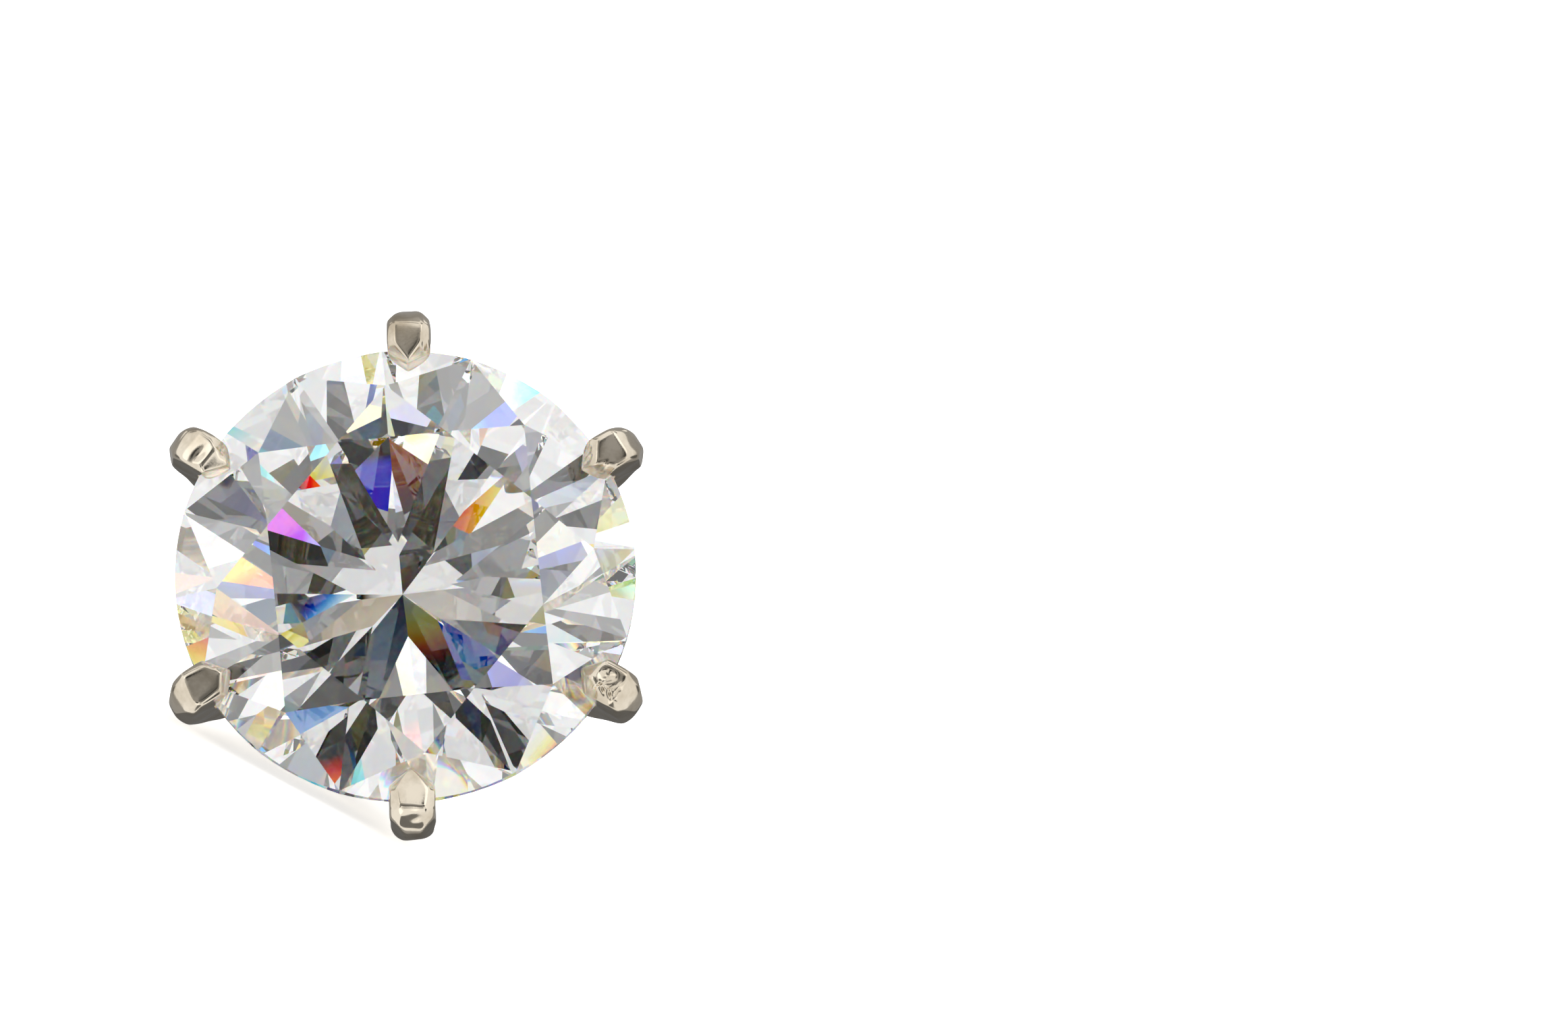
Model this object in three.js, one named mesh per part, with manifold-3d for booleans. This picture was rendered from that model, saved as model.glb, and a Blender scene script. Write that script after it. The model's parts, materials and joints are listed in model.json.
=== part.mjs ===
// A claw-set stud earring: one round brilliant-cut diamond held by six claws of white gold, with a
// plain ear post behind. It lies by itself on a table, on two neighbouring claws and the post's tip.
//
// The stud is built in a frame of its own: z runs out of the diamond's table, z = 0 is the middle of
// the girdle, and azimuths are counted anticlockwise from +x as the face is looked at. The last
// section lays the finished stud down in the row's frame, +Z up, with its face towards -Y.
// Millimetres throughout.

import * as THREE from 'three';
import { ConvexGeometry } from 'three/addons/geometries/ConvexGeometry.js';
import { mergeVertices } from 'three/addons/utils/BufferGeometryUtils.js';
import Module from 'manifold-3d';

const wasm = await Module();
wasm.setup();

const deg = THREE.MathUtils.degToRad;

// ---------------------------------------------------------------------------------------------
// Driving dimensions
// ---------------------------------------------------------------------------------------------

// The diamond, as a cutter gives it: shares of the girdle's diameter, and angles from the girdle.
const STONE_DIAMETER = 9;
const TABLE_SHARE = 0.62;
const GIRDLE_SHARE = 0.038;
const CROWN_ANGLE = deg(31.7);
const PAVILION_ANGLE = deg(42.2);
const STAR_LENGTH = 0.575; // from the table's edge towards the girdle
const LOWER_HALF_LENGTH = 0.79; // from the girdle towards the culet
const FACET_AZIMUTH = deg(13.7); // where the first kite facet points
// The cutter left the crown and the pavilion's point a little off the girdle's axis.
const CROWN_OFFSET = [0.12, -0.15];
const CULET_OFFSET = [0.01, -0.17];
const GIRDLE_STEPS = 6; // points along the girdle for each half facet

// The setting.
const SEAT_SCALE = 1.01; // the claws are notched for a stone this much larger
const CLAW_WIDTH = 0.9;
const CLAW_FOOT_WIDTH = 0.72; // at the base
const CLAW_BEVEL = 0.13;
const CLAWS = [
  { azimuth: deg(-0.5) },
  { azimuth: deg(60) },
  { azimuth: deg(119.5) },
  { azimuth: deg(180) },
  { azimuth: deg(241), resting: true },
  { azimuth: deg(301.8), resting: true },
];
const RAILS = [
  { ringRadius: 3.6, wireRadius: 0.33, z: -1.9 },
  { ringRadius: 2.5, wireRadius: 0.3, z: -3.5 },
];
const BASE_RADIUS = 1.6;
const BASE_TOP = -4.7;
const BASE_BACK = -5.45; // the flat that sits against the ear lobe
const BASE_CHAMFER = 0.18;

// The ear post, in a socket of the base.
const POST_RADIUS = 0.45;
const POST_LENGTH = 9.5; // behind the base
const POST_NOSE = 0.2; // rounding of the tip
const SOCKET_DEPTH = 0.45;
const FIT_GAP = 0.05;

// ---------------------------------------------------------------------------------------------
// Materials
// ---------------------------------------------------------------------------------------------

const diamond = new THREE.MeshStandardMaterial({ color: '#dfe5e8', roughness: 0.02, metalness: 0 });
const whiteGold = new THREE.MeshStandardMaterial({ color: '#c9c0b2', roughness: 0.2, metalness: 1 });

// ---------------------------------------------------------------------------------------------
// Solids: a closed three.js geometry goes to manifold-3d to be joined and cut, and comes back
// ---------------------------------------------------------------------------------------------

function toSolid(geometry) {
  const bare = geometry.clone();
  bare.deleteAttribute('normal');
  bare.deleteAttribute('uv');
  const merged = mergeVertices(bare);
  return new wasm.Manifold(new wasm.Mesh({
    numProp: 3,
    vertProperties: new Float32Array(merged.attributes.position.array),
    triVerts: new Uint32Array(merged.index.array),
  }));
}

function toGeometry(solid) {
  const mesh = solid.getMesh();
  const geometry = new THREE.BufferGeometry();
  geometry.setAttribute('position', new THREE.BufferAttribute(mesh.vertProperties, 3));
  geometry.setIndex(new THREE.BufferAttribute(mesh.triVerts, 1));
  geometry.computeVertexNormals();
  return geometry;
}

function named(name, geometry, material) {
  const mesh = new THREE.Mesh(geometry, material);
  mesh.name = name;
  return mesh;
}

// ---------------------------------------------------------------------------------------------
// The diamond
// ---------------------------------------------------------------------------------------------

const onCylinder = (radius, azimuth, z) =>
  new THREE.Vector3(radius * Math.cos(azimuth), radius * Math.sin(azimuth), z);

// Half of the stone, as the corners of its facets. `side` is +1 for the crown and -1 for the
// pavilion. Eight main facets slope from the girdle to `apex`. On the ridge between two of them, at
// `share` of the way down from the apex, a pair of half facets starts, and where they meet the round
// girdle they leave two shallow scallops.
function halfFacetCorners(side, radius, apex, share) {
  const sixteenth = Math.PI / 8;
  const rim = side * GIRDLE_SHARE * radius;
  const half = new THREE.Plane();
  const corners = [];
  for (let k = 0; k < 8; k += 1) {
    const ridge = FACET_AZIMUTH + (2 * k + 1) * sixteenth;
    const foot = onCylinder(radius / Math.cos(sixteenth), ridge, rim);
    const junction = apex.clone().lerp(foot, share);
    corners.push(junction);
    for (const turn of [-1, 1]) {
      half.setFromCoplanarPoints(
        junction,
        onCylinder(radius, ridge + turn * sixteenth, rim),
        onCylinder(radius, ridge, rim),
      );
      for (let step = 0; step < GIRDLE_STEPS; step += 1) {
        const along = turn > 0 ? step : step + 1;
        const point = onCylinder(radius, ridge + turn * (along / GIRDLE_STEPS) * sixteenth, 0);
        point.z = -half.distanceToPoint(point) / half.normal.z;
        corners.push(point);
      }
    }
  }
  return corners;
}

function brilliant(diameter) {
  const radius = diameter / 2;
  const rim = GIRDLE_SHARE * radius;
  const tableRadius = TABLE_SHARE * radius;
  const tableEdge = tableRadius * Math.cos(Math.PI / 8);
  const starRadius = THREE.MathUtils.lerp(tableEdge, radius, STAR_LENGTH);
  const crownApex = new THREE.Vector3(...CROWN_OFFSET, rim + radius * Math.tan(CROWN_ANGLE));
  const culet = new THREE.Vector3(...CULET_OFFSET, -rim - radius * Math.tan(PAVILION_ANGLE));
  const corners = [
    ...halfFacetCorners(1, radius, crownApex, (starRadius / radius) * Math.cos(Math.PI / 8)),
    ...halfFacetCorners(-1, radius, culet, (1 - LOWER_HALF_LENGTH) * Math.cos(Math.PI / 8)),
    culet,
  ];
  for (let k = 0; k < 8; k += 1) {
    const foot = onCylinder(radius, FACET_AZIMUTH + (k * Math.PI) / 4, rim);
    corners.push(crownApex.clone().lerp(foot, TABLE_SHARE));
  }
  return new ConvexGeometry(corners);
}

// ---------------------------------------------------------------------------------------------
// The setting
// ---------------------------------------------------------------------------------------------

// A claw seen from its side: the first coordinate is the distance from the stud's axis, the second
// the height. It climbs from the base outside the pavilion and hooks over the girdle, and its inner
// side runs into the stone, whose notch is cut afterwards.
function clawProfile() {
  const profile = new THREE.Shape();
  profile.moveTo(0.9, BASE_BACK + 0.1);
  profile.lineTo(1.45, BASE_BACK + 0.1);
  profile.splineThru([
    new THREE.Vector2(2.4, -4.3),
    new THREE.Vector2(3.5, -2.95),
    new THREE.Vector2(4.42, -1.75),
    new THREE.Vector2(5.03, -0.75),
    new THREE.Vector2(5.26, -0.05),
    new THREE.Vector2(5.22, 0.45),
  ]);
  profile.lineTo(5.0, 0.8);
  profile.lineTo(4.45, 1.0);
  profile.lineTo(3.98, 0.8);
  profile.lineTo(3.98, 0.3);
  profile.lineTo(4.2, -0.5);
  profile.lineTo(3.85, -1.1);
  profile.splineThru([
    new THREE.Vector2(2.88, -2.4),
    new THREE.Vector2(1.9, -3.65),
    new THREE.Vector2(0.9, BASE_TOP),
  ]);
  return profile;
}

// Flats filed on a claw's tip, on both sides of its middle. Each is a plane through `at`, in the
// claw's own directions: out from the axis, along the girdle and up. `facing` points out of it.
const TIP_FLATS = [
  { at: [4.3, 0.45, 0.72], facing: [-0.55, 0.66, 0.5] }, // nose
  { at: [4.6, 0.28, 1.0], facing: [-0.08, 0.6, 0.8] }, // shoulder
  { at: [5.16, 0.34, 0.55], facing: [0.62, 0.62, 0.48] }, // outer corner
];

function filedAway(solid, at, facing) {
  const size = 6;
  const geometry = new THREE.BoxGeometry(size, size, size);
  geometry.translate(0, 0, size / 2);
  const outward = new THREE.Vector3(...facing).normalize();
  geometry.applyQuaternion(new THREE.Quaternion().setFromUnitVectors(new THREE.Vector3(0, 0, 1), outward));
  geometry.translate(...at);
  return solid.subtract(toSolid(geometry));
}

function claw() {
  const geometry = new THREE.ExtrudeGeometry(clawProfile(), {
    depth: CLAW_WIDTH - 2 * CLAW_BEVEL,
    bevelThickness: CLAW_BEVEL,
    bevelSize: CLAW_BEVEL,
    bevelOffset: -CLAW_BEVEL,
    bevelSegments: 2,
    curveSegments: 3,
  });
  geometry.translate(0, 0, CLAW_BEVEL - CLAW_WIDTH / 2);
  // The extrusion ran along z: turn it so that the profile's height points up.
  geometry.rotateX(Math.PI / 2);
  // The claw tapers towards its foot.
  const place = geometry.attributes.position;
  for (let i = 0; i < place.count; i += 1) {
    const climb = THREE.MathUtils.clamp((place.getZ(i) - BASE_BACK) / -BASE_BACK, 0, 1);
    const share = THREE.MathUtils.lerp(CLAW_FOOT_WIDTH / CLAW_WIDTH, 1, climb);
    place.setY(i, place.getY(i) * share);
  }
  let solid = toSolid(geometry);
  for (const { at: [out, along, up], facing: [outward, sideways, upward] } of TIP_FLATS) {
    for (const side of [-1, 1]) {
      solid = filedAway(solid, [out, side * along, up], [outward, side * sideways, upward]);
    }
  }
  return solid;
}

// A turned piece. The profile is in distance from the axis and height.
function turned(profile, segments) {
  const geometry = new THREE.LatheGeometry(profile.map(([x, z]) => new THREE.Vector2(x, z)), segments);
  return geometry.rotateX(Math.PI / 2);
}

function base() {
  const socketRadius = POST_RADIUS + FIT_GAP;
  const socketTop = BASE_BACK + SOCKET_DEPTH;
  return toSolid(turned([
    [0, socketTop],
    [socketRadius, socketTop],
    [socketRadius, BASE_BACK],
    [BASE_RADIUS - BASE_CHAMFER, BASE_BACK],
    [BASE_RADIUS, BASE_BACK + BASE_CHAMFER],
    [BASE_RADIUS, BASE_TOP - BASE_CHAMFER],
    [BASE_RADIUS - BASE_CHAMFER, BASE_TOP],
    [0, BASE_TOP],
  ], 36));
}

function rail({ ringRadius, wireRadius, z }) {
  return toSolid(new THREE.TorusGeometry(ringRadius, wireRadius, 8, 54).translate(0, 0, z));
}

function clawSetting() {
  const oneClaw = claw();
  let solid = base();
  for (const row of RAILS) {
    solid = solid.add(rail(row));
  }
  for (const { azimuth } of CLAWS) {
    solid = solid.add(oneClaw.rotate([0, 0, THREE.MathUtils.radToDeg(azimuth)]));
  }
  return toGeometry(solid.subtract(toSolid(brilliant(STONE_DIAMETER * SEAT_SCALE))));
}

// ---------------------------------------------------------------------------------------------
// The ear post
// ---------------------------------------------------------------------------------------------

function earPost() {
  const tip = BASE_BACK - POST_LENGTH;
  const noseSteps = 4;
  const profile = [];
  for (let step = 0; step <= noseSteps; step += 1) {
    const turn = (step / noseSteps) * (Math.PI / 2);
    profile.push([
      POST_RADIUS - POST_NOSE * (1 - Math.sin(turn)),
      tip + POST_NOSE * (1 - Math.cos(turn)),
    ]);
  }
  const top = BASE_BACK + SOCKET_DEPTH - FIT_GAP;
  return turned([[0, tip], ...profile, [POST_RADIUS, top], [0, top]], 20);
}

// ---------------------------------------------------------------------------------------------
// The stud, lying at rest
// ---------------------------------------------------------------------------------------------

const stoneMesh = named('stone', brilliant(STONE_DIAMETER), diamond);
const settingMesh = named('claw_setting', clawSetting(), whiteGold);
const postMesh = named('ear_post', earPost(), whiteGold);

const stud = new THREE.Group();
stud.add(stoneMesh, settingMesh, postMesh);

// The stud rolls until its two resting claws are level: the middle between them points down.
const restingAzimuths = CLAWS.filter((row) => row.resting).map((row) => row.azimuth);
stud.rotation.z = 1.5 * Math.PI - (restingAzimuths[0] + restingAzimuths[1]) / 2;

// With its axis raised by `lean` out of the level, the lowest point of a mesh in the stud.
function lowest(mesh, lean) {
  const place = mesh.geometry.attributes.position;
  const point = new THREE.Vector3();
  let low = Infinity;
  for (let i = 0; i < place.count; i += 1) {
    point.fromBufferAttribute(place, i).applyEuler(stud.rotation);
    low = Math.min(low, point.y * Math.cos(lean) + point.z * Math.sin(lean));
  }
  return low;
}

// It leans back until the post's tip is as low as the claws.
let lean = 0;
let tooFar = Math.PI / 4;
for (let halving = 0; halving < 40; halving += 1) {
  const middle = (lean + tooFar) / 2;
  if (lowest(postMesh, middle) > lowest(settingMesh, middle)) {
    lean = middle;
  } else {
    tooFar = middle;
  }
}

const studEarring = new THREE.Group();
studEarring.add(stud);
studEarring.rotation.x = Math.PI / 2 - lean;

// It stands on z = 0, with the middle of its box at the origin.
const box = new THREE.Box3().setFromObject(studEarring, true);
const middle = box.getCenter(new THREE.Vector3());
studEarring.position.set(-middle.x, -middle.y, -box.min.z);

export default studEarring;
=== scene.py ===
"""A claw-set diamond stud, lying on two claws and the tip of its post on a white table.

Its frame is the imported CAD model: the diamond keeps its CAD facets, and the setting and the post get
finely modelled surfaces. Shapes are worked out in the stud's own frame, in millimetres: z runs out of
the diamond's face, z = 0 is the middle of the girdle, and azimuths are counted anticlockwise from +x
as the face is looked at. `to_row` carries them into the row frame, in metres.
"""

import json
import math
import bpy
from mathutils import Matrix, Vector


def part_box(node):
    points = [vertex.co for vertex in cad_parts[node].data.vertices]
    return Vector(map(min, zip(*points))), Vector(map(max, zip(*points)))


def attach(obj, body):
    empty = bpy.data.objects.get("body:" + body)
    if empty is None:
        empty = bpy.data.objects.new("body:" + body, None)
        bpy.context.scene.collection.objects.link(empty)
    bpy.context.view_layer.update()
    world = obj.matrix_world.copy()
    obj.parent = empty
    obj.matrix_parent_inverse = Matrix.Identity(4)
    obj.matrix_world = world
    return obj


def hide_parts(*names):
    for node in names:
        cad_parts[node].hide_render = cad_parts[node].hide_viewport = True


bl_info = {
    "name": "Claw-set stud earring",
    "version": (1, 0, 0),
    "blender": (4, 5, 0),
    "location": "View3D > Sidebar > Stud",
    "description": "Surfaces, finishes and studio of a claw-set diamond stud earring",
    "category": "Add Mesh",
}

import bpy
import numpy as np
from mathutils import Matrix, Vector

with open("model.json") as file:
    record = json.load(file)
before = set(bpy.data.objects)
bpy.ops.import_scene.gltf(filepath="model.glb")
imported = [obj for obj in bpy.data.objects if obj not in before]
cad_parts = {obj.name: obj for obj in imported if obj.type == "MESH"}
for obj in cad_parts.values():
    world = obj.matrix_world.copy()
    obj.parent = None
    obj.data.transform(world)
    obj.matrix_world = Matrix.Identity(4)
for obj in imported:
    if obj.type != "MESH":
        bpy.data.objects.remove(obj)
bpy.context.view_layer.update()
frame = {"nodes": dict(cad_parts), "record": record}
ROOT = "root"
MM = 0.001
TAU = 2 * math.pi

# ---------------------------------------------------------------------------------------------
# The stud's own frame
# ---------------------------------------------------------------------------------------------

GIRDLE_TO_SEAT = 5.45  # mm, along the axis, from the girdle to the base's flat back
# clock: the hour that the claw points to in the camera's view. width: of its bar, as a share.
CLAW_ROWS = (
    dict(clock=4, azimuth=-0.5, width=0.94),
    dict(clock=2, azimuth=60, width=0.88),
    dict(clock=12, azimuth=119.5, width=0.95),
    dict(clock=10, azimuth=180, width=0.87),
    dict(clock=8, azimuth=241, width=0.90, resting=True),
    dict(clock=6, azimuth=301.8, width=1.0, resting=True),
)

_seat = frame["record"]["mounts"][0]
OUT = -np.array(_seat["axis"]) / np.linalg.norm(_seat["axis"])
_post_low, _post_high = (np.array(corner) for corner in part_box("ear_post"))
_post_middle = (_post_low + _post_high) / 2
_seat_middle = _post_middle + OUT * ((np.array(_seat["pos_m"]) - _post_middle) @ OUT)
GIRDLE_MIDDLE = _seat_middle + OUT * GIRDLE_TO_SEAT * MM
ROLL = math.radians(270 - np.mean([row["azimuth"] for row in CLAW_ROWS if row.get("resting")]))
_level = np.array([1.0, 0.0, 0.0])
_upward = np.cross(OUT, _level)
# Columns: where the stud's own x, y and z point in the row frame.
STUD_AXES = np.stack(
    (
        math.cos(ROLL) * _level + math.sin(ROLL) * _upward,
        -math.sin(ROLL) * _level + math.cos(ROLL) * _upward,
        OUT,
    ),
    axis=1,
)


def to_row(points):
    """Points of the stud's own frame, in mm, in the row frame, in metres."""
    return GIRDLE_MIDDLE + (np.asarray(points) * MM) @ STUD_AXES.T


def towards(azimuth, off_axis):
    """The row-frame direction at `off_axis` degrees from the stud's axis, on the side of `azimuth`."""
    a, b = math.radians(azimuth), math.radians(off_axis)
    return STUD_AXES @ np.array([math.sin(b) * math.cos(a), math.sin(b) * math.sin(a), math.cos(b)])


# ---------------------------------------------------------------------------------------------
# Settings
# ---------------------------------------------------------------------------------------------


def linear(code):
    """An sRGB hex colour as linear red, green, blue and alpha."""
    values = np.array([int(code[i : i + 2], 16) for i in (1, 3, 5)]) / 255
    low = values / 12.92
    high = ((values + 0.055) / 1.055) ** 2.4
    return (*np.where(values <= 0.04045, low, high), 1.0)


def colour_property(name, description, code):
    return bpy.props.FloatVectorProperty(
        name=name, description=description, subtype="COLOR", size=4, min=0, max=1, default=linear(code)
    )


class STUD_PG_gold(bpy.types.PropertyGroup):
    """Sizes and colours of the white gold."""

    polished: colour_property("Polished", "Colour of the polished alloy", "#f1e6d3")
    worn: colour_property("Worn", "Colour where the surface is dulled", "#cbbda6")
    roughness: bpy.props.FloatProperty(
        name="Roughness", description="Roughness of the hand-polished metal", default=0.1, min=0, max=1
    )
    edge_radius: bpy.props.FloatProperty(
        name="Edge radius",
        description="Rounding that polishing leaves on a filed edge, in mm",
        default=0.03,
        min=0,
    )


class STUD_PG_studio(bpy.types.PropertyGroup):
    """The table, the light and the camera."""

    table: colour_property("Table", "Colour of the table", "#f6f5f3")
    lens: bpy.props.FloatProperty(
        name="Lens", description="Focal length", default=200, min=10, unit="CAMERA"
    )
    table_glow: bpy.props.FloatProperty(
        name="Table glow",
        description="Strength of the light that comes through the table",
        default=0.7,
        min=0,
    )
    lamp_power: bpy.props.FloatProperty(
        name="Overhead light", description="Strength of the soft light from above", default=2.2, min=0
    )


# ---------------------------------------------------------------------------------------------
# Meshes
# ---------------------------------------------------------------------------------------------


def grid_faces(rows, columns, closed_rows=False):
    """Corner numbers of the quads of a grid whose columns close on themselves, and its rows too if
    `closed_rows` is set."""
    row = np.arange(rows if closed_rows else rows - 1)
    column = np.arange(columns)
    r, c = (a.ravel() for a in np.meshgrid(row, column, indexing="ij"))
    below, beside = (r + 1) % rows, (c + 1) % columns
    here, under = r * columns, below * columns
    return np.stack((here + c, here + beside, under + beside, under + c), axis=1)


def closed_tube(rings, around):
    """Quads and triangles of rings whose two ends run together in the two corners that follow the
    rings' own: first the pole before the first ring, then the one after the last."""
    ring = np.arange(around)
    beside = (ring + 1) % around
    last = (rings - 1) * around
    first_pole, last_pole = np.full(around, rings * around), np.full(around, rings * around + 1)
    caps = np.concatenate(
        (
            np.stack((beside, ring, first_pole), axis=1),
            np.stack((last + ring, last + beside, last_pole), axis=1),
        )
    )
    return grid_faces(rings, around), caps


def make_piece(name, points, quads, triangles, material, stands_for=()):
    """A smooth mesh object in the row frame, riding on the earring. `points` are in the stud's own
    frame."""
    mesh = bpy.data.meshes.new(name)
    mesh.from_pydata(to_row(points), [], quads.tolist() + triangles.tolist())
    mesh.polygons.foreach_set("use_smooth", np.ones(len(mesh.polygons), dtype=bool))
    mesh.update()
    mesh.materials.append(material)
    piece = bpy.data.objects.new(name, mesh)
    bpy.context.scene.collection.objects.link(piece)
    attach(piece, ROOT)
    if stands_for:
        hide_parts(*stands_for)
    return piece


def through(rows, places):
    """A smooth curve through the rows, read at `places` from 0 to the last row's number: cubic
    Hermite pieces whose slope at a row is half the step between its neighbours."""
    rows = np.asarray(rows, dtype=float)
    slopes = np.gradient(rows, axis=0)
    at = np.clip(np.asarray(places), 0, len(rows) - 1 - 1e-9)
    k = at.astype(int)
    t = (at - k)[:, None]
    return (
        (2 * t**3 - 3 * t**2 + 1) * rows[k]
        + (t**3 - 2 * t**2 + t) * slopes[k]
        + (3 * t**2 - 2 * t**3) * rows[k + 1]
        + (t**3 - t**2) * slopes[k + 1]
    )


def rounded(corners, radii, steps=8):
    """A profile whose corners are rounded: between points a radius before and after corner c, the
    curve is (1-t)^2 before + 2t(1-t) c + t^2 after. Its two ends stay as they are."""
    corners = np.asarray(corners, dtype=float)
    radii = np.asarray(radii, dtype=float)[:, None]
    middle = corners[1:-1]
    to_last, to_next = corners[:-2] - middle, corners[2:] - middle
    before = middle + radii * to_last / np.linalg.norm(to_last, axis=1)[:, None]
    after = middle + radii * to_next / np.linalg.norm(to_next, axis=1)[:, None]
    t = np.linspace(0, 1, steps)[None, :, None]
    curves = (1 - t) ** 2 * before[:, None] + 2 * t * (1 - t) * middle[:, None] + t**2 * after[:, None]
    return np.concatenate((corners[:1], curves.reshape(-1, 2), corners[-1:]))


def turned_piece(name, profile, material, stands_for, around=128):
    """A profile of (distance from the stud's axis, height) turned round that axis. Both its ends are
    on the axis, and it runs up the outside."""
    azimuth = np.arange(around) / around * TAU
    reach, height = profile[1:-1, 0], profile[1:-1, 1]
    points = np.stack(
        (
            np.outer(reach, np.cos(azimuth)),
            np.outer(reach, np.sin(azimuth)),
            np.repeat(height[:, None], around, axis=1),
        ),
        axis=2,
    ).reshape(-1, 3)
    poles = np.array([(0, 0, profile[0, 1]), (0, 0, profile[-1, 1])])
    points = np.concatenate((points, poles))
    quads, caps = closed_tube(len(reach), around)
    return make_piece(name, points, quads, caps, material, stands_for)


# ---------------------------------------------------------------------------------------------
# Materials
# ---------------------------------------------------------------------------------------------


def add(tree, kind, inputs=None, **settings):
    """Adds a node. `inputs` maps a socket to a value, or to the output that feeds it."""
    node = tree.nodes.new(kind)
    for key, value in settings.items():
        setattr(node, key, value)
    for key, value in (inputs or {}).items():
        if isinstance(value, bpy.types.NodeSocket):
            tree.links.new(value, node.inputs[key])
        else:
            node.inputs[key].default_value = value
    return node


def new_material(name):
    material = bpy.data.materials.new(name)
    material.use_nodes = True
    material.node_tree.nodes.clear()
    return material, material.node_tree


DIAMOND_IOR = 2.417
# Diamond spreads white light into its colours: each band leaves the stone bent a little more than
# the one before. The bands add up to white.
COLOUR_BANDS = (
    dict(colour=(0.62, 0.00, 0.00), ior=2.392),
    dict(colour=(0.30, 0.18, 0.00), ior=2.402),
    dict(colour=(0.08, 0.42, 0.00), ior=2.413),
    dict(colour=(0.00, 0.32, 0.15), ior=2.426),
    dict(colour=(0.00, 0.08, 0.50), ior=2.446),
    dict(colour=(0.00, 0.00, 0.35), ior=2.468),
)


def diamond_material():
    """Diamond, polished on a wheel: a clear stone that mirrors a sixth of the light head on, keeps
    most of the rest inside by total reflection, and breaks what leaves it into its colours."""
    material, tree = new_material("diamond_polished")
    leaving = None
    for band in COLOUR_BANDS:
        bent = add(
            tree,
            "ShaderNodeBsdfRefraction",
            {"Color": (*band["colour"], 1), "Roughness": 0.0, "IOR": band["ior"]},
            distribution="BECKMANN",
        )
        if leaving is None:
            leaving = bent
        else:
            leaving = add(tree, "ShaderNodeAddShader", {0: leaving.outputs[0], 1: bent.outputs[0]})
    entering = add(
        tree,
        "ShaderNodeBsdfRefraction",
        {"Color": (1, 1, 1, 1), "Roughness": 0.0, "IOR": DIAMOND_IOR},
        distribution="BECKMANN",
    )
    side = add(tree, "ShaderNodeNewGeometry")
    passed = add(
        tree,
        "ShaderNodeMixShader",
        {0: side.outputs["Backfacing"], 1: entering.outputs[0], 2: leaving.outputs[0]},
    )
    mirrored = add(
        tree,
        "ShaderNodeBsdfAnisotropic",
        {"Color": (1, 1, 1, 1), "Roughness": 0.0},
        distribution="BECKMANN",
    )
    share = add(tree, "ShaderNodeFresnel", {"IOR": DIAMOND_IOR}).outputs[0]
    surface = add(
        tree, "ShaderNodeMixShader", {0: share, 1: passed.outputs[0], 2: mirrored.outputs[0]}
    )
    add(tree, "ShaderNodeOutputMaterial", {"Surface": surface.outputs[0]})
    return material


CLOUD_SIZE = 0.9  # mm, of the dulled patches
GRAIN_SIZE = 0.05  # mm: coarser than the polish really leaves, so that it shows
GRAIN_HEIGHT = 0.004  # mm
GRAIN_STRENGTH = 0.12
ROUGHNESS_BELOW, ROUGHNESS_ABOVE = 0.05, 0.1  # how far the patches take it from the setting


def gold_material(name, gold):
    """18 carat white gold without rhodium plating, filed and polished by hand: a warm grey metal with
    a soft mirror finish, dulled in cloudy patches, with the fine grain that the polish leaves."""
    material, tree = new_material(name)
    place = add(tree, "ShaderNodeTexCoord").outputs["Object"]
    clouds = add(
        tree,
        "ShaderNodeTexNoise",
        {"Vector": place, "Scale": 1 / (CLOUD_SIZE * MM), "Detail": 4, "Roughness": 0.6},
    ).outputs[0]
    grain = add(
        tree,
        "ShaderNodeTexNoise",
        {"Vector": place, "Scale": 1 / (GRAIN_SIZE * MM), "Detail": 3, "Roughness": 0.7},
    ).outputs[0]
    dulled = add(tree, "ShaderNodeMapRange", {0: clouds, 1: 0.42, 2: 0.7, 3: 0.0, 4: 1.0})
    colour = add(
        tree,
        "ShaderNodeMix",
        {0: dulled.outputs[0], 6: gold.polished, 7: gold.worn},
        data_type="RGBA",
    )
    smoothest, roughest = gold.roughness - ROUGHNESS_BELOW, gold.roughness + ROUGHNESS_ABOVE
    rough = add(tree, "ShaderNodeMapRange", {0: clouds, 1: 0.3, 2: 0.7, 3: smoothest, 4: roughest})
    bump = add(
        tree,
        "ShaderNodeBump",
        {"Height": grain, "Strength": GRAIN_STRENGTH, "Distance": GRAIN_HEIGHT * MM},
    )
    metal = add(
        tree,
        "ShaderNodeBsdfPrincipled",
        {
            "Base Color": colour.outputs[2],
            "Metallic": 1.0,
            "Roughness": rough.outputs[0],
            "Normal": bump.outputs[0],
        },
    )
    add(tree, "ShaderNodeOutputMaterial", {"Surface": metal.outputs[0]})
    return material


def table_material(studio):
    """A sheet of opal glass lit from below. It glows almost white, so it takes only faint shadows, and
    the stone and the metal see the light tent go on through it."""
    material, tree = new_material("table_opal_glass")
    glow = add(tree, "ShaderNodeEmission", {"Color": studio.table, "Strength": studio.table_glow})
    matt = add(tree, "ShaderNodeBsdfDiffuse", {"Color": studio.table})
    lit = add(tree, "ShaderNodeAddShader", {0: glow.outputs[0], 1: matt.outputs[0]})
    through_it = add(tree, "ShaderNodeBsdfTransparent", {"Color": (1, 1, 1, 1)})
    to_camera = add(tree, "ShaderNodeLightPath").outputs["Is Camera Ray"]
    seen = add(
        tree, "ShaderNodeMixShader", {0: to_camera, 1: through_it.outputs[0], 2: lit.outputs[0]}
    )
    add(tree, "ShaderNodeOutputMaterial", {"Surface": seen.outputs[0]})
    return material


# ---------------------------------------------------------------------------------------------
# The diamond
# ---------------------------------------------------------------------------------------------


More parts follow.
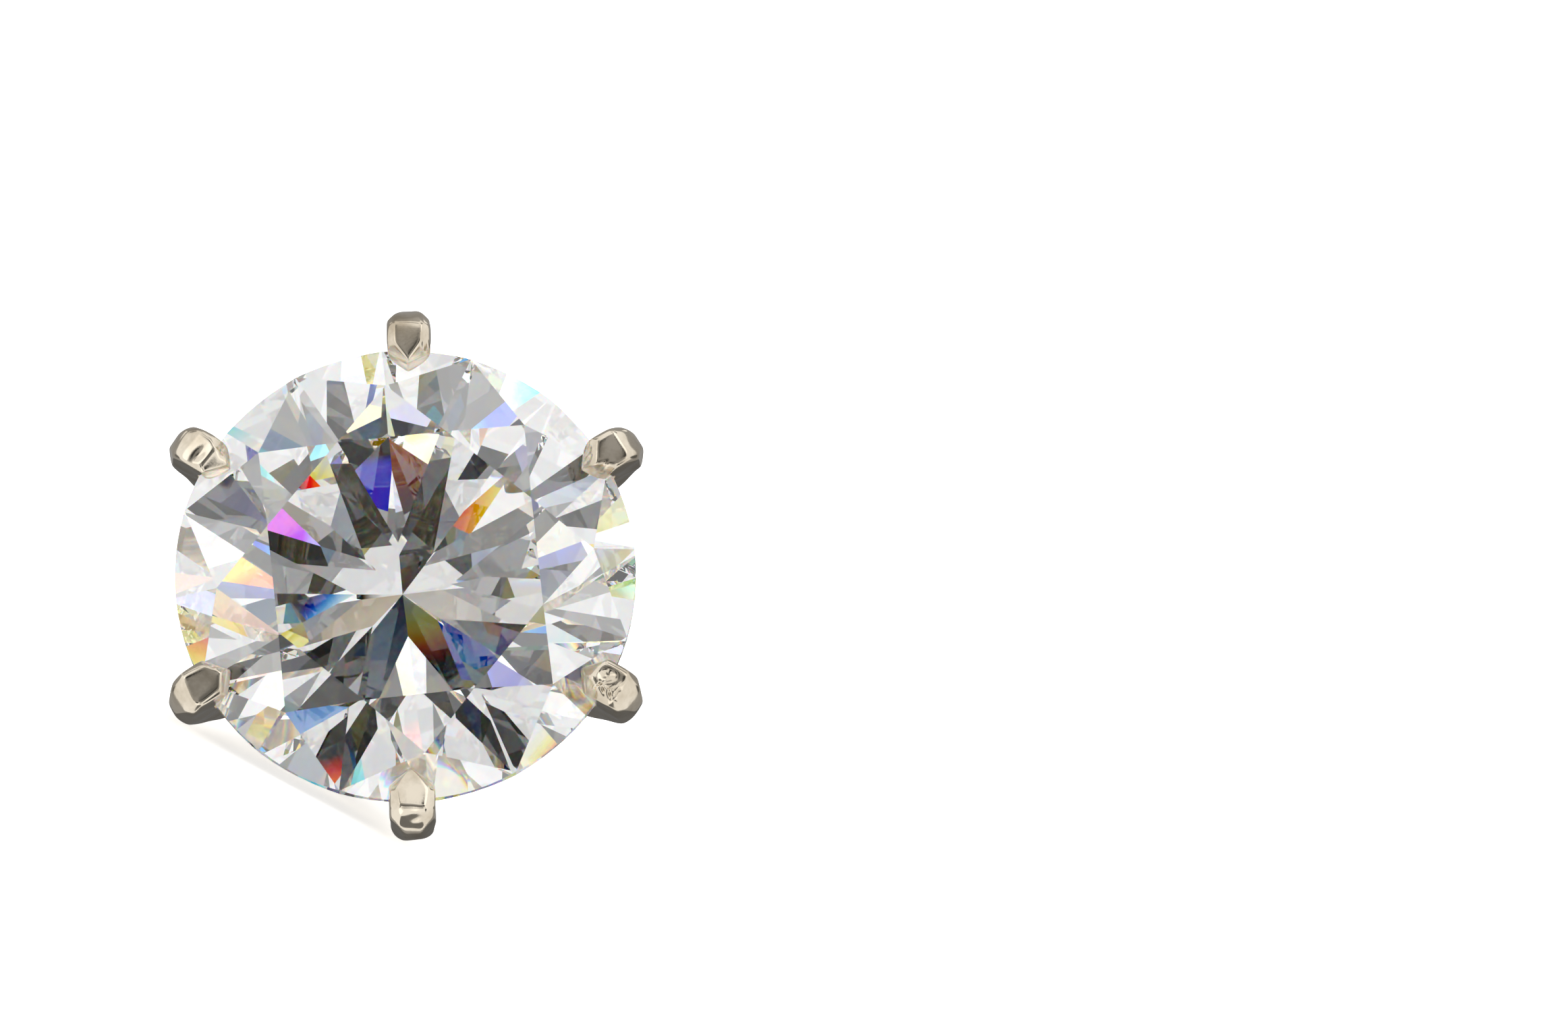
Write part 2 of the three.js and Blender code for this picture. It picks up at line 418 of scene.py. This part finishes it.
class STUD_OT_stone(bpy.types.Operator):
    """Gives the brilliant-cut stone its diamond finish"""

    bl_idname = "stud.stone"
    bl_label = "Diamond"

    def execute(self, context):
        frame["nodes"]["stone"].data.materials[0] = diamond_material()
        return {"FINISHED"}


# ---------------------------------------------------------------------------------------------
# The setting
# ---------------------------------------------------------------------------------------------

# A claw's middle line seen from its side, from the base to the tip: distance from the stud's axis
# and height, then the bar's thickness and width, in mm.
CLAW_LINE = (
    (1.25, -5.00, 0.50, 0.62),
    (2.15, -3.97, 0.80, 0.70),
    (3.19, -2.68, 0.82, 0.72),
    (4.08, -1.50, 0.82, 0.72),
    (4.62, -0.62, 0.82, 0.77),
    (4.87, -0.02, 0.80, 0.87),
    (4.80, 0.40, 0.80, 0.90),
    (4.55, 0.70, 0.80, 0.90),
    (4.22, 0.84, 0.74, 0.90),
)
CLAW_GRID = (190, 120)  # rings along a claw, and points round it
TIP_CROWDING = 1.35  # more than 1 puts a claw's rings closer together towards its tip
CAP_GRID = 16  # rings that round off an end
CAP_LENGTH = 0.24  # mm
CAP_SQUARENESS = 4  # of the rounding of the ends
POLE_STEP = 0.002  # mm, from the last ring to the point that closes an end
SQUARENESS = 5  # of the bar's section: 2 is an ellipse, and more is squarer
FILED_FROM, FILED_FULLY = -1.0, -0.5  # mm, heights between which the file's strokes fade in
PITS_FROM, PITS_FADE = 0.4, 0.2  # mm, the height that pits start at, and what they fade in over
WOBBLE = 0.007  # mm, of each of two waves that add up
SEAT_GAP = 0.02  # mm, between a claw and the stone

# Strokes of the file, each a flat: a point on it and the way it faces, both as (out from the stud's
# axis, anticlockwise along the girdle, up). The first table is for every claw, the second for one.
SHARED_FLATS = (
    ((4.70, 0.29, 0.97), (0.00, 0.72, 0.69)),  # shoulders
    ((4.70, -0.29, 0.97), (0.00, -0.72, 0.69)),
    ((5.06, 0.26, 0.75), (0.60, 0.62, 0.50)),  # outer corners
    ((5.06, -0.26, 0.75), (0.60, -0.62, 0.50)),
    ((5.20, 0.25, 0.00), (0.72, 0.69, 0.05)),
    ((5.20, -0.25, 0.00), (0.72, -0.69, 0.05)),
    ((4.00, 0.00, 0.80), (-0.76, 0.62, 0.20)),  # point
    ((4.00, 0.00, 0.80), (-0.76, -0.62, 0.20)),
)
CLAW_FLATS = {
    12: (
        ((4.60, 0.00, 0.97), (0.02, 0.03, 1.00)),  # top
        ((4.10, 0.00, 0.98), (-0.50, 0.66, 0.56)),  # nose
        ((4.10, 0.00, 0.98), (-0.46, -0.68, 0.56)),
        ((5.04, 0.00, 0.97), (0.66, 0.00, 0.75)),  # heel
    ),
    2: (
        ((4.60, 0.00, 0.95), (0.03, -0.05, 1.00)),
        ((4.30, 0.02, 0.96), (-0.58, 0.34, 0.74)),
        ((4.22, -0.12, 0.93), (-0.42, -0.66, 0.60)),
        ((4.93, 0.00, 0.97), (0.70, -0.24, 0.66)),
    ),
    4: (
        ((4.56, 0.00, 0.96), (0.05, 0.03, 1.00)),
        ((4.26, 0.02, 0.95), (-0.62, 0.18, 0.76)),
        ((4.20, -0.12, 0.92), (-0.40, -0.66, 0.60)),
        ((4.96, 0.02, 0.94), (0.60, 0.22, 0.76)),
    ),
    6: (
        ((4.60, 0.00, 0.96), (-0.16, 0.08, 1.00)),
        ((4.14, 0.00, 1.02), (-0.52, 0.64, 0.56)),
        ((4.14, 0.00, 1.02), (-0.52, -0.64, 0.56)),
        ((5.05, 0.00, 0.93), (0.84, 0.14, 0.52)),
    ),
    8: (
        ((4.60, 0.00, 0.96), (0.12, 0.08, 1.00)),
        ((4.16, 0.10, 0.95), (-0.56, 0.46, 0.68)),
        ((4.14, -0.06, 0.96), (-0.52, -0.42, 0.72)),
        ((5.02, 0.00, 0.96), (0.72, 0.22, 0.62)),
    ),
    10: (
        ((4.62, 0.00, 0.95), (0.20, 0.12, 1.00)),
        ((4.32, 0.00, 0.96), (-0.50, 0.22, 0.82)),
        ((4.20, -0.12, 0.92), (-0.42, -0.62, 0.64)),
        ((4.84, 0.00, 0.93), (0.58, 0.02, 0.80)),
    ),
}
# Slips and pits of the file on a claw's tip: middle as (out, along), half sizes along the claw and
# across it, how far the long side turns from the claw's own direction, and depth. A negative depth
# is a burr.
CLAW_PITS = {
    2: (
        (4.16, 0.16, 0.10, 0.03, 30, 0.05),
        (4.10, 0.04, 0.10, 0.03, 25, 0.05),
        (4.22, -0.22, 0.16, 0.05, 10, 0.05),
    ),
    4: (
        (4.50, 0.10, 0.13, 0.10, 20, 0.07),
        (4.46, -0.14, 0.11, 0.025, 60, 0.04),
        (4.56, -0.20, 0.12, 0.025, -40, 0.045),
        (4.66, -0.10, 0.10, 0.022, 55, 0.04),
        (4.74, -0.22, 0.11, 0.025, -50, 0.045),
        (4.84, -0.12, 0.09, 0.022, 70, 0.04),
        (4.62, -0.16, 0.16, 0.03, 5, -0.03),
        (4.80, -0.02, 0.10, 0.03, 80, -0.02),
    ),
    6: ((5.02, 0.03, 0.09, 0.20, 8, 0.03),),
    8: (
        (4.22, -0.20, 0.05, 0.05, 0, 0.05),
        (4.12, -0.04, 0.05, 0.04, 30, 0.04),
        (4.30, -0.34, 0.06, 0.05, 0, 0.05),
    ),
    10: (
        (4.20, -0.18, 0.06, 0.09, 20, 0.07),
        (4.58, 0.12, 0.18, 0.09, 75, 0.025),
    ),
    12: ((4.52, -0.30, 0.20, 0.04, 0, 0.02),),
}


def stone_flats():
    """Unit outward directions of the stone's facets and their distances from the origin, in the
    stud's own frame: an array of four columns, one row for each triangle of the CAD stone."""
    mesh = frame["nodes"]["stone"].data
    facing = np.empty(3 * len(mesh.polygons))
    mesh.polygons.foreach_get("normal", facing)
    middle = np.empty(3 * len(mesh.polygons))
    mesh.polygons.foreach_get("center", middle)
    facing = facing.reshape(-1, 3) @ STUD_AXES
    middle = (middle.reshape(-1, 3) - GIRDLE_MIDDLE) @ STUD_AXES / MM
    flats = np.column_stack((facing, (facing * middle).sum(axis=1)))
    return np.unique(flats.round(4), axis=0)


def file_down(points, flats, edge_radius):
    """Moves whatever stands proud of a flat straight down onto it. With `proud` the height above the
    flat, a point goes down by (proud + sqrt(proud^2 + r^2)) / 2, which rounds the edge by r. The
    file leaves the shank alone: its strokes fade out from FILED_FULLY down to FILED_FROM."""
    tip = np.clip((points[:, 2] - FILED_FROM) / (FILED_FULLY - FILED_FROM), 0, 1)
    for at, facing in flats:
        facing = np.array(facing) / np.linalg.norm(facing)
        proud = (points - at) @ facing
        points = points - np.outer(tip * (proud + np.sqrt(proud**2 + edge_radius**2)) / 2, facing)
    return points


def pit(points, pits):
    """Sinks each pit into the tip: a point goes down by depth exp(-(x/a)^2 - (y/b)^2), with x and y
    measured from the pit's middle along its two sides, if it is on the upper side of the claw."""
    for out, along, length, width, turn, depth in pits:
        c, s = math.cos(math.radians(turn)), math.sin(math.radians(turn))
        x, y = points[:, 0] - out, points[:, 1] - along
        upper = np.clip((points[:, 2] - PITS_FROM) / PITS_FADE, 0, 1)
        fall = np.exp(-(((x * c + y * s) / length) ** 2) - ((y * c - x * s) / width) ** 2)
        points[:, 2] -= depth * fall * upper
    return points


def hand_wobble(points, number):
    """The unevenness of hand work: each coordinate moves by WOBBLE times the sum of two sines of the
    other coordinates, which are 0.6 to 2 mm long and shifted from claw to claw."""
    phase = number * 1.7
    x, y, z = points.T
    wave = np.stack(
        (
            np.sin(7.1 * y + 3.9 * z + phase) + np.sin(4.3 * z - 5.7 * y + 2 * phase),
            np.sin(5.3 * x + 4.7 * z + 3 * phase) + np.sin(8.9 * z - 2.1 * x + phase),
            np.sin(6.7 * x - 5.9 * y + phase) + np.sin(3.1 * x + 9.7 * y + 4 * phase),
        ),
        axis=1,
    )
    return points + WOBBLE * wave


def clear_stone(points, flats):
    """Moves points that are inside the stone out through its nearest facet, to SEAT_GAP from it."""
    proud = points @ flats[:, :3].T - flats[:, 3] - SEAT_GAP
    nearest = proud.argmax(axis=1)
    depth = -np.minimum(proud[np.arange(len(points)), nearest], 0)
    return points + depth[:, None] * flats[nearest, :3]


def claw_bar():
    """A claw before it is filed, as (out, along, up) points: rings of a squared ellipse whose middle
    runs along CLAW_LINE. In the ring's plane, a point at angle a stands off by
    (|cos a|^n + |sin a|^n)^(-1/n) half widths, with n the squareness, and the same curve rounds the
    two ends. The rings are closer together towards the tip."""
    rings, around = CLAW_GRID
    last = len(CLAW_LINE) - 1
    line = through(CLAW_LINE, last * (1 - np.linspace(1, 0, rings) ** TIP_CROWDING))
    ahead = np.gradient(line[:, :2], axis=0)
    ahead /= np.linalg.norm(ahead, axis=1)[:, None]
    turn = np.linspace(0, TAU / 4, CAP_GRID + 1)[1:-1]
    corner = (np.cos(turn) ** CAP_SQUARENESS + np.sin(turn) ** CAP_SQUARENESS) ** (-1 / CAP_SQUARENESS)
    closing = corner * np.cos(turn)
    shrink = np.concatenate((closing[::-1], np.ones(rings), closing))
    stretch = CAP_LENGTH * corner * np.sin(turn)
    copies = len(turn)
    first, final = np.repeat(line[:1], copies, axis=0), np.repeat(line[-1:], copies, axis=0)
    first[:, :2] -= stretch[::-1, None] * ahead[0]
    final[:, :2] += stretch[:, None] * ahead[-1]
    line = np.concatenate((first, line, final))
    ahead = np.pad(ahead, ((copies, copies), (0, 0)), mode="edge")
    angle = np.arange(around) / around * TAU
    across, upright = np.abs(np.cos(angle)), np.abs(np.sin(angle))
    reach = (across**SQUARENESS + upright**SQUARENESS) ** (-1 / SQUARENESS)
    thick = np.outer(line[:, 2] * shrink / 2, reach * np.cos(angle))
    wide = np.outer(line[:, 3] * shrink / 2, reach * np.sin(angle))
    points = np.stack(
        (line[:, :1] + ahead[:, 1:] * thick, wide, line[:, 1:2] - ahead[:, :1] * thick), axis=2
    ).reshape(-1, 3)
    tips = line[[0, -1], :2] + ((-POLE_STEP,), (POLE_STEP,)) * ahead[[0, -1]]
    poles = np.column_stack((tips[:, 0], (0, 0), tips[:, 1]))
    return np.concatenate((points, poles)), len(line)


class STUD_OT_claws(bpy.types.Operator):
    """Adds the six claws, each filed by hand over the stone's edge"""

    bl_idname = "stud.claws"
    bl_label = "Claws"

    def execute(self, context):
        gold = gold_material("white_gold_polished", context.scene.stud_gold)
        edge_radius = context.scene.stud_gold.edge_radius
        stone = stone_flats()
        bar, rings = claw_bar()
        quads, caps = closed_tube(rings, CLAW_GRID[1])
        for row in CLAW_ROWS:
            rough = hand_wobble(bar * (1, row["width"], 1), row["clock"])
            filed = file_down(rough, SHARED_FLATS + CLAW_FLATS[row["clock"]], edge_radius)
            filed = pit(filed, CLAW_PITS[row["clock"]])
            turn = math.radians(row["azimuth"])
            out, along = filed[:, 0], filed[:, 1]
            placed = np.column_stack(
                (
                    out * math.cos(turn) - along * math.sin(turn),
                    out * math.sin(turn) + along * math.cos(turn),
                    filed[:, 2],
                )
            )
            placed = clear_stone(placed, stone)
            name = f"claw_{row['clock']}"
            make_piece(name, placed, quads, caps, gold, ("claw_setting",))
        return {"FINISHED"}


RAILS = (
    dict(name="rail_upper", ring_radius=3.6, wire_radius=0.33, height=-1.9),
    dict(name="rail_lower", ring_radius=2.5, wire_radius=0.30, height=-3.5),
)
RAIL_GRID = (480, 40)  # points round a rail, and round its wire
FILLET = 0.16  # mm of solder that builds a rail up where it meets a claw
FILLET_FROM, FILLET_LENGTH = 0.38, 0.12  # mm from a claw's middle, and what the solder dies away over
# Corners of turned profiles as (distance from the stud's axis, height), and how each inner one is
# rounded, in mm. The base has a socket in its back for the post.
BASE_CORNERS = ((0, -5.0), (0.5, -5.0), (0.5, -5.45), (1.6, -5.45), (1.6, -4.7), (0, -4.7))
BASE_ROUNDING = (0.05, 0.06, 0.16, 0.16)
POST_CORNERS = ((0, -14.95), (0.45, -14.95), (0.45, -5.05), (0, -5.05))
POST_ROUNDING = (0.2, 0.05)


class STUD_OT_gallery(bpy.types.Operator):
    """Adds the two round rails that tie the claws together, the base behind them and the ear post"""

    bl_idname = "stud.gallery"
    bl_label = "Gallery, base and post"

    def execute(self, context):
        gold = bpy.data.materials["white_gold_polished"]
        stone = stone_flats()
        azimuth, angle = (np.arange(count) / count * TAU for count in RAIL_GRID)
        claws = np.radians([row["azimuth"] for row in CLAW_ROWS])
        # How far a place on the rail is from the nearest claw, along the rail.
        offset = np.abs((azimuth[:, None] - claws + TAU / 2) % TAU - TAU / 2).min(axis=1)
        for rail in RAILS:
            arc = offset * rail["ring_radius"]
            solder = FILLET * np.exp(-np.maximum(arc - FILLET_FROM, 0) / FILLET_LENGTH)
            built_up = rail["wire_radius"] + solder
            reach = rail["ring_radius"] + np.outer(built_up, np.cos(angle))
            height = rail["height"] - np.outer(built_up, np.sin(angle))
            points = np.stack(
                (reach * np.cos(azimuth)[:, None], reach * np.sin(azimuth)[:, None], height), axis=2
            ).reshape(-1, 3)
            points = clear_stone(points, stone)
            quads = grid_faces(*RAIL_GRID, closed_rows=True)
            none = np.empty((0, 3), dtype=int)
            make_piece(rail["name"], points, quads, none, gold, ("claw_setting",))
        turned_piece("base", rounded(BASE_CORNERS, BASE_ROUNDING), gold, ("claw_setting",))
        turned_piece("post", rounded(POST_CORNERS, POST_ROUNDING), gold, ("ear_post",))
        return {"FINISHED"}


# ---------------------------------------------------------------------------------------------
# The studio
# ---------------------------------------------------------------------------------------------

# The camera looks at the stone from a little off its axis: towards the claw at six o'clock, and
# to the right of it. TWELVE is the azimuth that is upright in its picture.
VIEW_TILT = 13.0
VIEW_SIDE = 1.0
TWELVE = 120
FRAME_WIDTH = 30.66  # mm, what the camera's view spans at the stone
STUD_LEFT = 7.39  # mm, how far the stone stands left of the view's middle
STUD_BELOW = 1.26  # mm, and below it

_tilt, _side = math.radians(VIEW_TILT), math.radians(VIEW_SIDE)
_twelve, _three = towards(TWELVE, 90), towards(TWELVE - 90, 90)
VIEW_BACK = (
    _three * math.sin(_side)
    - _twelve * math.cos(_side) * math.sin(_tilt)
    + OUT * math.cos(_side) * math.cos(_tilt)
)
VIEW_UP = _twelve * math.cos(_tilt) + OUT * math.sin(_tilt)
VIEW_RIGHT = np.cross(VIEW_UP, VIEW_BACK)


def from_stone(hour, off_view):
    """The direction, as the stone sees it, that is `off_view` degrees from the camera and towards
    `hour` on the clock face of the camera's picture."""
    h, b = math.radians(30 * hour), math.radians(off_view)
    return VIEW_BACK * math.cos(b) + (VIEW_RIGHT * math.sin(h) + VIEW_UP * math.cos(h)) * math.sin(b)


# The tent of white cloth round the camera, as round fields of their own brightness: where each one's
# middle is, its half width in degrees, and its level. A later field lies over an earlier one.
ROOM_LEVEL = 0.93
LIGHT_FIELDS = (
    # Behind and beside the stud: mirrored by the claws' sides and slopes.
    dict(hour=12, off_view=180, half=66, level=0.32),
    dict(hour=6, off_view=150, half=28, level=0.13),
    dict(hour=12, off_view=109, half=15, level=0.42),
    dict(hour=6, off_view=92, half=14, level=0.16),
    dict(hour=3.4, off_view=113, half=10, level=0.1),
    dict(hour=8.7, off_view=117, half=9, level=0.15),
    dict(hour=10.8, off_view=102, half=9, level=0.25),
    dict(hour=1.4, off_view=128, half=6, level=1.0),
    dict(hour=10.4, off_view=130, half=6, level=1.0),
    dict(hour=4.8, off_view=70, half=9, level=0.06),
    dict(hour=1.0, off_view=86, half=13, level=0.35),
    # In front: seen through the stone.
    dict(hour=10, off_view=43, half=11, level=1.3),
    dict(hour=1.2, off_view=50, half=14, level=1.3),
    dict(hour=6.5, off_view=62, half=14, level=1.3),
    dict(hour=3.6, off_view=50, half=9, level=1.2),
    dict(hour=5.6, off_view=44, half=9, level=0.5),
    dict(hour=12, off_view=62, half=7, level=0.35),
    dict(hour=11, off_view=2, half=31, level=0.33),
    dict(hour=9.5, off_view=27, half=5, level=0.46),
    dict(hour=0.7, off_view=31, half=4, level=0.38),
    dict(hour=10.9, off_view=40, half=3.5, level=0.5),
    dict(hour=2.6, off_view=28, half=6, level=0.88),
    dict(hour=7.3, off_view=28, half=8, level=0.02),
    dict(hour=7.0, off_view=39, half=7, level=0.02),
    dict(hour=5.1, off_view=22, half=8, level=0.015),
    dict(hour=4.0, off_view=25, half=5, level=0.015),
    dict(hour=4.5, off_view=44, half=5, level=0.02),
    dict(hour=10.4, off_view=23, half=6, level=0.015),
    dict(hour=1.3, off_view=27, half=8, level=0.02),
    dict(hour=0.6, off_view=40, half=4, level=0.02),
    dict(hour=11.2, off_view=38, half=5, level=0.02),
    dict(hour=11.9, off_view=26, half=4, level=0.01),
    dict(hour=6.3, off_view=25, half=6, level=1.0),
    dict(hour=12, off_view=3, half=11, level=0.13),
    dict(hour=12, off_view=0, half=4, level=0.01),
)
# Seams and poles of the tent: dark or bright bands on a great circle, given by its pole.
TENT_BANDS = (
    dict(hour=2, off_view=75, half=0.8, level=0.0),
    dict(hour=10, off_view=80, half=0.8, level=0.0),
    dict(hour=4, off_view=70, half=0.8, level=0.0),
    dict(hour=6, off_view=80, half=0.8, level=0.0),
    dict(hour=1, off_view=70, half=0.7, level=1.6),
    dict(hour=5, off_view=50, half=0.7, level=1.6),
)


WHITE_LEVEL = 1.1  # of the tent, to the camera
FIELD_RIM, BAND_RIM = 0.0012, 0.001  # half widths of their soft rims, as a cosine and a sine


def studio_world(scene):
    """White to the camera. All else sees a grey room with the tent's fields: each is a round patch of
    sky whose rim is where the angle to its middle passes its half width, and a band is where the
    angle to its pole is within its half width of a right angle."""
    world = bpy.data.worlds.new("studio")
    world.use_nodes = True
    tree = world.node_tree
    tree.nodes.clear()
    direction = add(tree, "ShaderNodeTexCoord").outputs["Generated"]
    path = add(tree, "ShaderNodeLightPath")
    level = ROOM_LEVEL
    for field in LIGHT_FIELDS + TENT_BANDS:
        middle = from_stone(field["hour"], field["off_view"])
        half = math.radians(field["half"])
        along = add(
            tree, "ShaderNodeVectorMath", {0: direction, 1: middle}, operation="DOT_PRODUCT"
        ).outputs["Value"]
        rim, soft, below, above = math.cos(half), FIELD_RIM, 0.0, 1.0
        if field in TENT_BANDS:
            # Too fine for the metal's soft mirror: only what comes through the stone meets them.
            along = add(tree, "ShaderNodeMath", {0: along}, operation="ABSOLUTE").outputs[0]
            rim, soft = math.sin(half), BAND_RIM
            below, above = path.outputs["Is Transmission Ray"], 0.0
        share = add(
            tree, "ShaderNodeMapRange", {0: along, 1: rim - soft, 2: rim + soft, 3: below, 4: above}
        ).outputs[0]
        level = add(
            tree, "ShaderNodeMix", {0: share, 2: level, 3: field["level"]}, data_type="FLOAT"
        ).outputs[0]
    room = add(tree, "ShaderNodeBackground", {"Color": (1, 1, 1, 1), "Strength": level})
    white = add(tree, "ShaderNodeBackground", {"Color": (1, 1, 1, 1), "Strength": WHITE_LEVEL})
    seen = add(
        tree,
        "ShaderNodeMixShader",
        {0: path.outputs["Is Camera Ray"], 1: room.outputs[0], 2: white.outputs[0]},
    )
    add(tree, "ShaderNodeOutputWorld", {"Surface": seen.outputs[0]})
    scene.world = world


def camera(scene, studio):
    """The camera stands on the stud's view line and turns so that the stone is left of the middle."""
    data = bpy.data.cameras.new("camera")
    data.lens = studio.lens
    distance = studio.lens / data.sensor_width * FRAME_WIDTH
    back, up, right = Vector(VIEW_BACK), Vector(VIEW_UP), Vector(VIEW_RIGHT)
    middle = Vector(GIRDLE_MIDDLE)
    place = middle + back * distance * MM
    aim = middle + (right * STUD_LEFT + up * STUD_BELOW) * MM
    turned_back = (place - aim).normalized()
    turned_right = up.cross(turned_back).normalized()
    turned_up = turned_back.cross(turned_right)
    turn = Matrix((turned_right, turned_up, turned_back)).transposed()
    data.clip_start = 1 * MM
    data.clip_end = 10
    stand = bpy.data.objects.new("camera", data)
    stand.matrix_world = Matrix.Translation(place) @ turn.to_4x4()
    scene.collection.objects.link(stand)
    scene.camera = stand


TABLE_REACH = 3.0  # m, from its middle to an edge
LAMP_SPREAD = 50  # degrees, of the sky that the lamp fills
LAMP_TURN = -15  # degrees: it shines down, and a little towards the face's side
STONE_BOUNCES = 32  # light turns back many times in a diamond


class STUD_OT_studio(bpy.types.Operator):
    """Adds the table, the light and the camera"""

    bl_idname = "stud.studio"
    bl_label = "Studio"

    def execute(self, context):
        scene = context.scene
        studio = scene.stud_studio
        mesh = bpy.data.meshes.new("table")
        corners = TABLE_REACH * np.array([(-1, -1, 0), (1, -1, 0), (1, 1, 0), (-1, 1, 0)])
        mesh.from_pydata(corners, [], [(0, 1, 2, 3)])
        mesh.materials.append(table_material(studio))
        table = bpy.data.objects.new("table", mesh)
        scene.collection.objects.link(table)
        lamp = bpy.data.lights.new("overhead", "SUN")
        lamp.energy = studio.lamp_power
        lamp.angle = math.radians(LAMP_SPREAD)
        stand = bpy.data.objects.new("overhead", lamp)
        stand.rotation_euler = (math.radians(LAMP_TURN), 0, 0)
        # The stone and the metal mirror the tent, and not this lamp.
        stand.visible_glossy = False
        stand.visible_transmission = False
        scene.collection.objects.link(stand)
        studio_world(scene)
        camera(scene, studio)
        scene.view_settings.view_transform = "Standard"
        scene.view_settings.look = "None"
        scene.cycles.max_bounces = STONE_BOUNCES
        scene.cycles.transmission_bounces = STONE_BOUNCES
        scene.cycles.glossy_bounces = STONE_BOUNCES
        scene.cycles.diffuse_bounces = 3
        scene.cycles.sample_clamp_indirect = 6
        return {"FINISHED"}


class STUD_PT_panel(bpy.types.Panel):
    """Lists the steps and settings of the stud"""

    bl_label = "Stud earring"
    bl_idname = "STUD_PT_panel"
    bl_space_type = "VIEW_3D"
    bl_region_type = "UI"
    bl_category = "Stud"

    def draw(self, context):
        for group in ("stud_gold", "stud_studio"):
            settings = getattr(context.scene, group)
            for key in settings.__annotations__:
                self.layout.prop(settings, key)
        for step in STEPS:
            self.layout.operator(step.bl_idname)


STEPS = (STUD_OT_stone, STUD_OT_claws, STUD_OT_gallery, STUD_OT_studio)
CLASSES = (STUD_PG_gold, STUD_PG_studio, *STEPS, STUD_PT_panel)


def register():
    for each in CLASSES:
        bpy.utils.register_class(each)
    bpy.types.Scene.stud_gold = bpy.props.PointerProperty(type=STUD_PG_gold)
    bpy.types.Scene.stud_studio = bpy.props.PointerProperty(type=STUD_PG_studio)


def unregister():
    del bpy.types.Scene.stud_studio
    del bpy.types.Scene.stud_gold
    for each in reversed(CLASSES):
        bpy.utils.unregister_class(each)


def main():
    register()
    bpy.ops.stud.stone()
    bpy.ops.stud.claws()
    bpy.ops.stud.gallery()
    bpy.ops.stud.studio()


if __name__ == "__main__":
    main()
